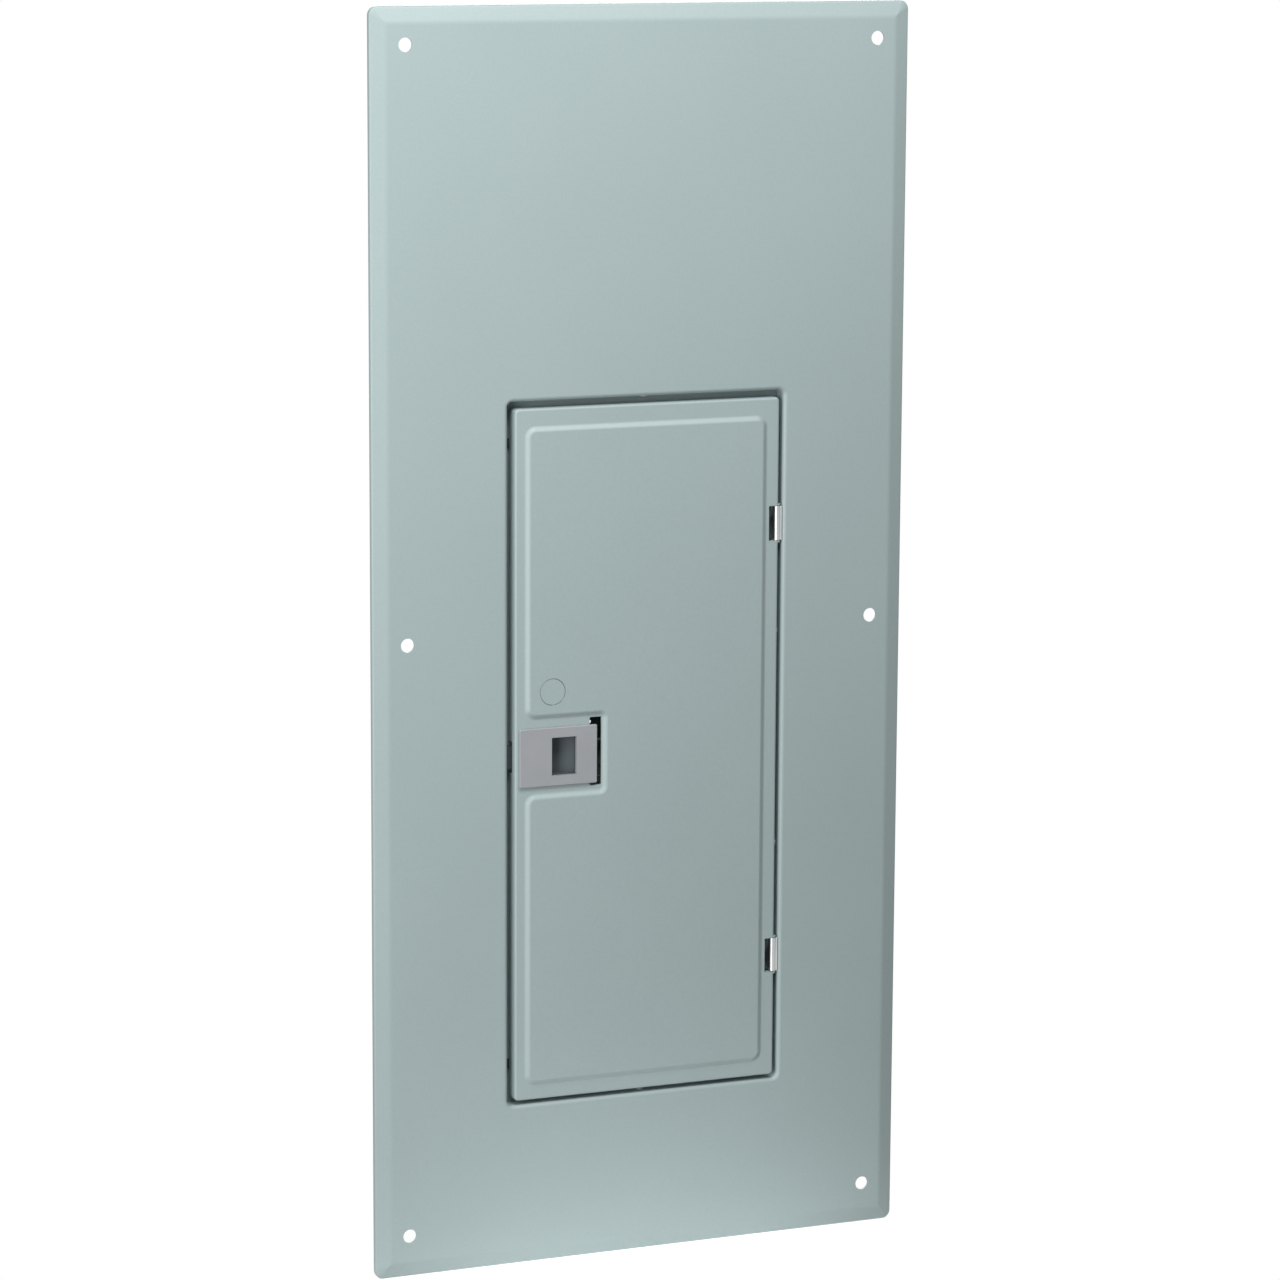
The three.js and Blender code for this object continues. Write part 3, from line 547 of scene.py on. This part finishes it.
# ---- Rivets ----
# Plated steel rivets with low domed heads hold the dead front to the opening's flange and the hinge leaves
# to the same flange. Each is set from inside the opening, and its tail is spread against the sheet behind.
RIVET_HEAD, RIVET_SHANK, RIVET_DOME, RIVET_STANDOFF = 2.4, 1.4, 0.9, 0.3
TRAY_GRIP, LEAF_GRIP = 3.0, 4.6


def zinc_finish():
    plating = Finish("bright_zinc", Metallic=1.0, Specular_Tint=(1, 1, 1, 1))
    cloud = plating.noise(120, 3)
    streak = plating.noise(900, 2, (1, 1, 0.06))
    colour = plating.blend(cloud, shade(196, 204, 212), shade(222, 222, 214))
    return plating.paint(
        Base_Color=colour,
        Roughness=0.24 + cloud * 0.1 + streak * 0.12,
        Normal=plating.bump(streak, 0.000012),
    )


def turned(name, profile, sides=28):
    """A body of revolution about X from (x, radius) points, with its poles closed."""
    mesh = bmesh.new()
    skin(mesh, [[(x, u, v) for u, v in circle(0, 0, radius, sides)] for x, radius in profile], cap=True)
    return solid(name, mesh)


def rivet(name, grip):
    """A rivet along +X whose head bears at x = 0, on a grip of that length."""
    seat, crown = -RIVET_STANDOFF, -RIVET_DOME - RIVET_STANDOFF
    spread, end = grip + RIVET_STANDOFF, grip + RIVET_DOME + RIVET_STANDOFF
    head = bent([(crown, 0.1, 0), (crown, 0.7 * RIVET_HEAD, 0.8), (-0.75, RIVET_HEAD, 0.3),
                 (seat, RIVET_HEAD, 0.1), (seat, RIVET_SHANK, 0)], 3)
    tail = bent([(spread, RIVET_SHANK, 0), (spread, RIVET_HEAD * 0.9, 0.25), (end, RIVET_SHANK, 0.5),
                 (end, 0.1, 0)], 3)
    return turned(name, [*head, (seat, RIVET_SHANK), (spread, RIVET_SHANK), *tail])


def rivet_tree():
    given, made, finish = geometry_tree("rivets_in_place", [("Rivet", "Object"), ("Material", "Material")])
    facing = made("GeometryNodeInputNamedAttribute", {"data_type": "FLOAT_VECTOR"}, {"Name": "facing"})
    turn = made("FunctionNodeAlignRotationToVector", {"axis": "X"}, {"Vector": facing.outputs[0]})
    shape = made("GeometryNodeObjectInfo", None, {"Object": given["Rivet"]})
    many = made("GeometryNodeInstanceOnPoints", None, {
        "Points": given["Geometry"], "Instance": shape.outputs["Geometry"], "Rotation": turn.outputs[0]})
    return finish(many.outputs[0])


ZINC = zinc_finish()
RIVETS = rivet_tree()


def set_rivets(name, nodes, grip):
    """One mesh for the rivets at those CAD nodes. The long way of a node's box is its axis."""
    places, facings = [], []
    middle = Vector(((LEFT + RIGHT) / 2, 0, (BOTTOM + TOP) / 2))
    for node in nodes:
        low, high = cad_mm(node)
        centre, span = (low + high) / 2, high - low
        axis = Vector((1, 0, 0)) if span.x > span.z else Vector((0, 0, 1))
        axis *= 1 if (centre - middle).dot(axis) > 0 else -1
        reach = abs(span.dot(axis)) / 2
        places.append((centre - axis * (reach - RIVET_DOME - RIVET_STANDOFF)) * 0.001)
        facings.append(axis)
    data = bpy.data.meshes.new(name)
    data.from_pydata(places, [], [])
    marks = data.attributes.new("facing", "FLOAT_VECTOR", "POINT")
    for mark, axis in zip(marks.data, facings):
        mark.vector = axis
    shape = rivet("rivet_shape", grip)
    shape.data.shade_smooth()
    piece = grown(name, RIVETS, {"Rivet": shape, "Material": ZINC}, data)
    bpy.data.objects.remove(shape)
    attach(piece, "cover")
    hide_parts(*nodes)


set_rivets("dead_front_rivets", [f"dead_front_rivet_{i:02d}" for i in range(1, 7)], TRAY_GRIP)
set_rivets("hinge_rivets", [f"hinge_rivet_{i:02d}" for i in range(1, 5)], LEAF_GRIP)


# ---- Hinges ----
# A plated strip is rolled into a knuckle at its front and riveted flat against the opening's flange. The
# door's ears carry the hinge pin, which turns in the knuckle.
KNUCKLE, BORE, BORE_SIDES = 2.3, 1.2, 32
PIN_X, PIN_Y = RIGHT - 3.4, FACE + 2.5
LEAF_SHEET, LEAF_GAP = 1.3, 0.3


def roll(first, last, step):
    """The knuckle's outline between two angles in degrees, as (x, y)."""
    turns = (math.radians(degrees) for degrees in range(first, last, step))
    return [(PIN_X + KNUCKLE * math.cos(turn), PIN_Y + KNUCKLE * math.sin(turn)) for turn in turns]


def hinge_leaf(side):
    low, high = cad_mm(f"hinge_bracket_{side}")
    leaf_out = RIGHT - LEAF_GAP
    leaf_in = leaf_out - LEAF_SHEET
    mesh = bmesh.new()
    post(mesh, roll(60, 331, 9) + [(leaf_out, FACE + 0.9), (leaf_out, high.y), (leaf_in, high.y),
                                   (leaf_in, FACE + 4.9)], low.z, high.z)
    leaf = solid(f"hinge_leaf_{side}", mesh)
    bore = bmesh.new()
    post(bore, circle(PIN_X, PIN_Y, BORE, BORE_SIDES), low.z - 1, high.z + 1)
    eased(combined(leaf, solid("bore", bore), "DIFFERENCE"), 0.15)
    leaf.data.materials.append(ZINC)
    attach(leaf, "cover")
    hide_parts(f"hinge_bracket_{side}")


def hinge_pin(side):
    low, high = cad_mm(f"hinge_pin_{side}")
    radius, ease = (high.x - low.x) / 2, 0.25
    x, y = (low.x + high.x) / 2, (low.y + high.y) / 2
    levels = [(low.z, radius - ease), (low.z + ease, radius), (high.z - ease, radius), (high.z, radius - ease)]
    mesh = bmesh.new()
    skin(mesh, [[(u, v, z) for u, v in circle(x, y, r, BORE_SIDES)] for z, r in levels], cap=True)
    pin = eased(solid(f"hinge_rod_{side}", mesh), 0.05, limit=60)
    pin.data.materials.append(ZINC)
    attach(pin, "door")
    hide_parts(f"hinge_pin_{side}")


for side in ("upper", "lower"):
    hinge_leaf(side)
    hinge_pin(side)


# ---- Door ----
# The door is a shallow tray of 1.2 mm sheet steel in the trim's enamel, with its centre pressed forward and
# a bay left flat for the latch. Notches at the right clear the hinges, and ears beside them hold the pins.
DOOR_SHEET, DOOR_DEPTH, DOOR_BEND, DOOR_CORNER = 1.2, 10.8, 1.8, 3.0
RAISED_BEVEL, RAISED_HEIGHT, RAISED_CORNER, RAISED_STEPS = 4.5, 2.0, 8.0, 9
NOTCH_DEEP, NOTCH_TALL = 7.3, 24.3
PIN_RECESS_REACH, PIN_RECESS_SKIN, BORE_REACH = 2.9, 0.1, 16
SLOT_LEFT, SLOT_RIGHT, SLOT_HALF, SLOT_ABOVE, SLOT_BELOW = 4.8, 3.6, 17.25, 5.0, 1.8
TONGUE_NOTCH_FRONT = 5.6
KNOCKOUT_RADIUS, KNOCKOUT_IN, KNOCKOUT_UP = 9.25, 26.6, 24.5

door_low, door_high = cad_mm("door_panel")
DOOR_RIGHT = RIGHT - 3.0
door_edge = rectangle(door_low.x, DOOR_RIGHT, door_low.z, door_high.z, DOOR_CORNER)
brackets = [cad_mm(f"hinge_bracket_{side}") for side in ("upper", "lower")]
HINGES = [(low.z + high.z) / 2 for low, high in brackets]
PLATE_LEFT, PLATE_RIGHT, PLATE_HALF = door_low.x + 2.8, door_low.x + 59.2, 20.25
POCKET_LEFT = PLATE_LEFT + 23.3
raised_left, raised_right = door_low.x + 6.5, DOOR_RIGHT - 9.0
raised_bottom, raised_top = door_low.z + 10.0, door_high.z - 11.5
bay_top, bay_bottom = LATCH_Z + PLATE_HALF + 5.5, LATCH_Z - PLATE_HALF - 4.5
bay_right, bay_corner = PLATE_RIGHT + 3.4, 1.5
raised_edge = rectangle(raised_left, raised_right, raised_bottom, raised_top, RAISED_CORNER) + [
    (raised_left, bay_top, RAISED_CORNER), (bay_right, bay_top, bay_corner),
    (bay_right, bay_bottom, bay_corner), (raised_left, bay_bottom, RAISED_CORNER)]


def door_skin():
    mesh = bmesh.new()
    lip = bent([(30, 0, 0), (0, 0, DOOR_BEND), (0, DOOR_DEPTH, 0)], 6) + [(0, DOOR_DEPTH)]
    edge = skin(mesh, rings_of(door_edge, [(d, y + FACE) for d, y in lip], 8))
    shares = [k / RAISED_STEPS for k in range(RAISED_STEPS + 1)]
    bevel = [(RAISED_BEVEL * s, FACE - RAISED_HEIGHT * pressed(s)) for s in shares]
    centre = skin(mesh, rings_of(raised_edge, bevel, 8))
    rim = [mesh.edges.get((ring[i], ring[(i + 1) % len(ring)]))
           for ring in (edge[0], centre[0]) for i in range(len(ring))]
    bmesh.ops.triangle_fill(mesh, edges=rim, use_beauty=True)
    mesh.faces.new(centre[-1])
    bmesh.ops.recalc_face_normals(mesh, faces=mesh.faces)
    front = max(mesh.faces, key=lambda face: face.calc_area())
    if front.normal.y > 0:
        bmesh.ops.reverse_faces(mesh, faces=mesh.faces)
    return thickened(surface("door_leaf", mesh), DOOR_SHEET, -1)


def door():
    leaf = door_skin()
    front, back, slot_right = FACE - 3, FACE + 4, PLATE_RIGHT + SLOT_RIGHT
    cuts = bmesh.new()
    block(cuts, POCKET_LEFT - SLOT_LEFT, slot_right - 2, front, back,
          LATCH_Z - SLOT_HALF, LATCH_Z + SLOT_HALF, 0.5)
    block(cuts, PLATE_RIGHT - 5, slot_right, front, back,
          LATCH_Z - PLATE_HALF - SLOT_BELOW, LATCH_Z + PLATE_HALF + SLOT_ABOVE, 0.8)
    rod(cuts, door_low.x + KNOCKOUT_IN, LATCH_Z + PLATE_HALF + KNOCKOUT_UP, KNOCKOUT_RADIUS,
        FACE - 5, FACE + 3, 96)
    block(cuts, door_low.x - 2, door_low.x + 3, FACE + TONGUE_NOTCH_FRONT, FACE + DOOR_DEPTH + 2,
          LATCH_Z - TONGUE_SLOT_HALF, LATCH_Z + TONGUE_SLOT_HALF)
    half = NOTCH_TALL / 2
    reach = half + PIN_RECESS_REACH
    for z in HINGES:
        block(cuts, DOOR_RIGHT - NOTCH_DEEP, DOOR_RIGHT + 2, FACE - 2, FACE + DOOR_DEPTH + 2, z - half, z + half)
        block(cuts, PIN_X - 1.6, DOOR_RIGHT + 2, FACE + DOOR_SHEET + PIN_RECESS_SKIN, PIN_Y + 1.6,
              z - reach, z + reach)
    combined(leaf, solid("cuts", cuts), "DIFFERENCE")
    ears, bores = bmesh.new(), bmesh.new()
    start = DOOR_RIGHT - NOTCH_DEEP + 1
    ear = roll(-90, 91, 10) + [(start, PIN_Y + KNUCKLE), (start, PIN_Y - KNUCKLE)]
    for z in HINGES:
        for low in (z + half, z - half - DOOR_SHEET):
            post(ears, ear, low, low + DOOR_SHEET)
        post(bores, circle(PIN_X, PIN_Y, BORE, BORE_SIDES), z - BORE_REACH, z + BORE_REACH)
    combined(leaf, solid("ears", ears), "UNION")
    return eased(combined(leaf, solid("bores", bores), "DIFFERENCE"), 0.2)


door_leaf = door()
door_leaf.data.materials.append(ENAMEL)
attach(door_leaf, "door")
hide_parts("door_panel")

slug_low, slug_high = cad_mm("lock_knockout")
slug_mesh = bmesh.new()
rod(slug_mesh, (slug_low.x + slug_high.x) / 2, (slug_low.z + slug_high.z) / 2, (slug_high.x - slug_low.x) / 2,
    slug_low.y, slug_high.y, 96)
slug = eased(solid("lock_slug", slug_mesh), 0.15)
slug.data.materials.append(ENAMEL)
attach(slug, "door")
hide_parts("lock_knockout")


# ---- Latch ----
# The latch is a moulded grey plastic slide: a face plate with a finger pocket, a tongue that reaches under
# the trim's left edge, and ears that hold it behind the door's sheet. A plated strap carries its back.
SLIDE_FRONT = FACE - 1.9
SLIDE_WALL, SLIDE_CORNER = 1.7, 1.2
POCKET_WIDE, POCKET_TALL, POCKET_DEEP, POCKET_FLOOR, POCKET_RAMP = 18.0, 26.3, 10.0, 5.5, 5.6
EAR_WIDE, EAR_REACH, EAR_FRONT, EAR_BACK = 7, 6.5, 1.5, 3.2
TONGUE_HALF, TONGUE_SHEET, TONGUE_BEVEL = 8, 3, 3


def plastic_finish():
    moulded = Finish("grey_plastic", IOR=1.48)
    cloud = moulded.noise(60)
    spark = moulded.noise(2600, 3)
    depth = moulded.node("ShaderNodeSeparateXYZ", None, {"Vector": moulded.place}, "Y") - SLIDE_FRONT * 0.001
    face = moulded.blend(cloud * 0.5 + spark * 0.5, shade(148, 151, 155), shade(164, 166, 169))
    # Painted shade: everything more than 1.4 mm behind the face is blended to dark grey. That covers the finger
    # pocket's walls and floor, and the body, ears and tongue behind the door.
    colour = moulded.blend(depth.between(0.0014, 0.004), face, shade(70, 78, 82))
    return moulded.paint(
        Base_Color=colour,
        Roughness=0.42 + spark * 0.16,
        Normal=moulded.bump(spark, 0.00003),
    )


PLASTIC = plastic_finish()


def latch():
    low, high = LATCH_Z - POCKET_TALL / 2, LATCH_Z + POCKET_TALL / 2
    right, floor, plate_back = POCKET_LEFT + POCKET_WIDE, SLIDE_FRONT + POCKET_DEEP, FACE - 0.3
    back, tip = SLIDE_FRONT + POCKET_DEEP + SLIDE_WALL, latch_low.x
    face = rectangle(PLATE_LEFT, PLATE_RIGHT, LATCH_Z - PLATE_HALF, LATCH_Z + PLATE_HALF, SLIDE_CORNER)
    profile = bent([(9, SLIDE_FRONT, 0), (0.45, SLIDE_FRONT, 0.5), (0, SLIDE_FRONT + 0.6, 0.4),
                    (0, plate_back, 0)], 4) + [(0, plate_back)]
    plate, body, ears, tongue, pocket = (bmesh.new() for _ in range(5))
    skin(plate, rings_of(face, profile, 6), cap=True)
    block(body, POCKET_LEFT - SLIDE_WALL, right + SLIDE_WALL, SLIDE_FRONT + 1, back,
          low - SLIDE_WALL, high + SLIDE_WALL, 0.6)
    block(ears, right + SLIDE_WALL - EAR_WIDE, right + SLIDE_WALL, FACE + EAR_FRONT, FACE + EAR_BACK,
          low - EAR_REACH, high + EAR_REACH, 0.6)
    post(tongue, [(POCKET_LEFT - 1, back - TONGUE_SHEET), (POCKET_LEFT - 1, back), (tip + TONGUE_BEVEL, back),
                  (tip + 0.2, back - 2.2), (tip, back - 2.6), (tip, back - 2.9), (tip + 0.1, back - TONGUE_SHEET)],
         LATCH_Z - TONGUE_HALF, LATCH_Z + TONGUE_HALF)
    post(pocket, [(POCKET_LEFT, SLIDE_FRONT - 1), (right, SLIDE_FRONT - 1), (right, SLIDE_FRONT + POCKET_RAMP),
                  (POCKET_LEFT + POCKET_FLOOR, floor), (POCKET_LEFT, floor)], low, high)
    slide = solid("latch_finger_slide", plate)
    for name, more in (("body", body), ("ears", ears), ("tongue", tongue)):
        combined(slide, solid(name, more), "UNION")
    return eased(combined(slide, solid("pocket", pocket), "DIFFERENCE"), 0.22, 3)


latch_slide = latch()
latch_slide.data.materials.append(PLASTIC)
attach(latch_slide, "latch")
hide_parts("latch_slide")


def strap():
    low, high = cad_mm("latch_guide")
    sheet, foot, foot_bend, crown_bend = 1.0, 2.0, 0.9, 1.2
    feet, crown = low.y + sheet / 2, high.y - sheet / 2
    leg_low, leg_high = low.z + foot + sheet / 2, high.z - foot - sheet / 2
    path = bent([(feet, low.z - 9, 0), (feet, leg_low, foot_bend), (crown, leg_low, crown_bend),
                 (crown, leg_high, crown_bend), (feet, leg_high, foot_bend), (feet, high.z + 9, 0)], 6)
    mesh = bmesh.new()
    made = [[mesh.verts.new((x, y, z)) for x in (low.x, high.x)]
            for y, z in [(feet, low.z), *path, (feet, high.z)]]
    for near, far in zip(made, made[1:]):
        mesh.faces.new((near[0], near[1], far[1], far[0]))
    return eased(thickened(surface("latch_strap", mesh), sheet, 0), 0.1)


latch_strap = strap()
latch_strap.data.materials.append(ZINC)
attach(latch_strap, "door")
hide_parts("latch_guide")


# ---- Directory card ----
# The directory card is stiff printed paper with a ruled row for each circuit. It is glued to the back of the
# door's raised centre, where it faces whoever opens the door.
def card_finish():
    paper = Finish("ruled_card", Roughness=0.75)
    low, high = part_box("directory_card")
    x, z = (paper.node("ShaderNodeSeparateXYZ", None, {"Vector": paper.place}, axis) for axis in "XZ")
    half_rule, margin, half_row = 0.0002, 0.006, 0.0037
    across = paper.maths("PINGPONG", z - low.z - margin, half_row) < half_rule
    columns = [low.x + margin + (high.x - low.x - 2 * margin) * share for share in (0, 0.09, 0.5, 0.59, 1)]
    first, *others = (paper.maths("ABSOLUTE", x - at) < half_rule for at in columns)
    inside = (x > low.x + margin) * (x < high.x - margin) * (z > low.z + margin) * (z < high.z - margin)
    ink = paper.maths("MINIMUM", across + sum(others, first), 1.0) * inside
    fibre = paper.noise(700, 3)
    stock = paper.blend(fibre, shade(228, 226, 217), shade(239, 238, 231))
    return paper.paint(Base_Color=paper.blend(ink, stock, shade(92, 98, 104)), Normal=paper.bump(fibre, 0.00002))


card_low, card_high = cad_mm("directory_card")
card_mesh = bmesh.new()
card_edge = rectangle(card_low.x, card_high.x, card_low.z, card_high.z, 3.0)
soft = 0.1
skin(card_mesh, rings_of(card_edge, [(soft, card_low.y), (0, card_low.y + soft), (0, card_high.y - soft),
                                     (soft, card_high.y)], 6), cap=True)
card = solid("circuit_card", card_mesh)
card.data.materials.append(card_finish())
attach(card, "door")
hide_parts("directory_card")


# ---- Door bumpers ----
# Two small moulded stops of dark rubber are glued to the dead front's ledge. The free edge of the closed door
# rests on them, so that it doesn't rattle.
def rubber_finish():
    stop = Finish("dark_rubber")
    dust = stop.noise(240, 3)
    return stop.paint(
        Base_Color=stop.blend(dust.between(0.45, 0.75), shade(52, 55, 57), shade(72, 76, 78)),
        Roughness=0.74 + dust * 0.14,
        Normal=stop.bump(dust, 0.00003),
    )


RUBBER = rubber_finish()
for side in ("upper", "lower"):
    low, high = cad_mm(f"door_bumper_{side}")
    radius, ease = (high.x - low.x) / 2, 0.35
    stop_mesh = bmesh.new()
    rod(stop_mesh, (low.x + high.x) / 2, (low.z + high.z) / 2, radius, low.y, high.y, 40)
    bumper = eased(solid(f"rubber_stop_{side}", stop_mesh), ease, 4)
    bumper.data.materials.append(RUBBER)
    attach(bumper, "cover")
    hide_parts(f"door_bumper_{side}")


# ---- Studio ----
# The cover stands on a pale floor that fades into a white backdrop. A tall soft light on its left and a wide
# one above it rake across its face, so that the face darkens towards its lower right corner.
def floor_finish(centre, clear_radius, full_radius):
    coat = Finish("pale_floor", Roughness=0.75, Emission_Color=(1, 1, 1, 1), Emission_Strength=0.45)
    away = coat.node("ShaderNodeVectorMath", {"operation": "DISTANCE"}, {0: coat.place, 1: centre}, "Value")
    speck = coat.noise(60)
    return coat.paint(Base_Color=coat.blend(speck, (0.86, 0.86, 0.86, 1), (0.9, 0.9, 0.9, 1)),
                      Alpha=1 - away.between(full_radius, clear_radius))


CLEAR_FROM, FULL_WITHIN = 0.32, 0.06
floor_mesh = bmesh.new()
bmesh.ops.create_circle(floor_mesh, cap_ends=True, radius=1500, segments=96,
                        matrix=Matrix.Translation((0, 0, pan_low.z)))
floor = surface("studio_floor", floor_mesh)
floor.data.materials.append(floor_finish((0, 0, pan_low.z * 0.001), CLEAR_FROM, FULL_WITHIN))


def softbox(name, place, aim, size, power):
    data = bpy.data.lights.new(name, "AREA")
    data.shape, data.size, data.size_y, data.energy = "RECTANGLE", *size, power
    lamp = placed(name, data)
    lamp.location = place
    lamp.rotation_euler = (Vector(aim) - Vector(place)).to_track_quat("-Z", "Y").to_euler()


softbox("left_light", (-1.0, -0.75, 0.08), (-0.1, 0, 0.08), (0.5, 1.3), 12.5)
softbox("top_light", (-0.05, -0.8, 1.3), (0, 0, 0.25), (1.3, 0.5), 20)
softbox("back_light", (0.9, 2.2, 1.1), (0, 0, 0), (1.4, 1.4), 30)

world = bpy.data.worlds.new("studio")
world.use_nodes = True
backdrop = world.node_tree.nodes["Background"]
backdrop.inputs["Color"].default_value = (1, 1, 1, 1)
rays = world.node_tree.nodes.new("ShaderNodeLightPath")
soft = world.node_tree.nodes.new("ShaderNodeMapRange")
seen = world.node_tree.nodes.new("ShaderNodeMath")
soft.inputs["To Min"].default_value, soft.inputs["To Max"].default_value = 0.1, 0.7
seen.operation = "MAXIMUM"
for start, end in (
        (rays.outputs["Is Glossy Ray"], soft.inputs["Value"]), (soft.outputs[0], seen.inputs[0]),
        (rays.outputs["Is Camera Ray"], seen.inputs[1]), (seen.outputs[0], backdrop.inputs["Strength"])):
    world.node_tree.links.new(start, end)
bpy.context.scene.world = world
bpy.context.scene.view_settings.view_transform = "Standard"

YAW, PITCH_DOWN, ROLL = math.radians(22.35), math.radians(10.24), math.radians(0.298)
ahead = Vector((math.sin(YAW) * math.cos(PITCH_DOWN), math.cos(YAW) * math.cos(PITCH_DOWN),
                -math.sin(PITCH_DOWN)))
level = Vector((math.cos(YAW), -math.sin(YAW), 0))
over = level.cross(ahead)
aside = math.cos(ROLL) * level + math.sin(ROLL) * over
above = -math.sin(ROLL) * level + math.cos(ROLL) * over
lens = bpy.data.cameras.new("camera")
lens.sensor_width, lens.lens, lens.clip_end = 36.0, 128.42, 60.0
camera = placed("camera", lens)
camera.matrix_world = Matrix.Translation((-1.1633, -2.8350, 0.5527)) @ Matrix(
    (aside, above, -ahead)).transposed().to_4x4()
bpy.context.scene.camera = camera
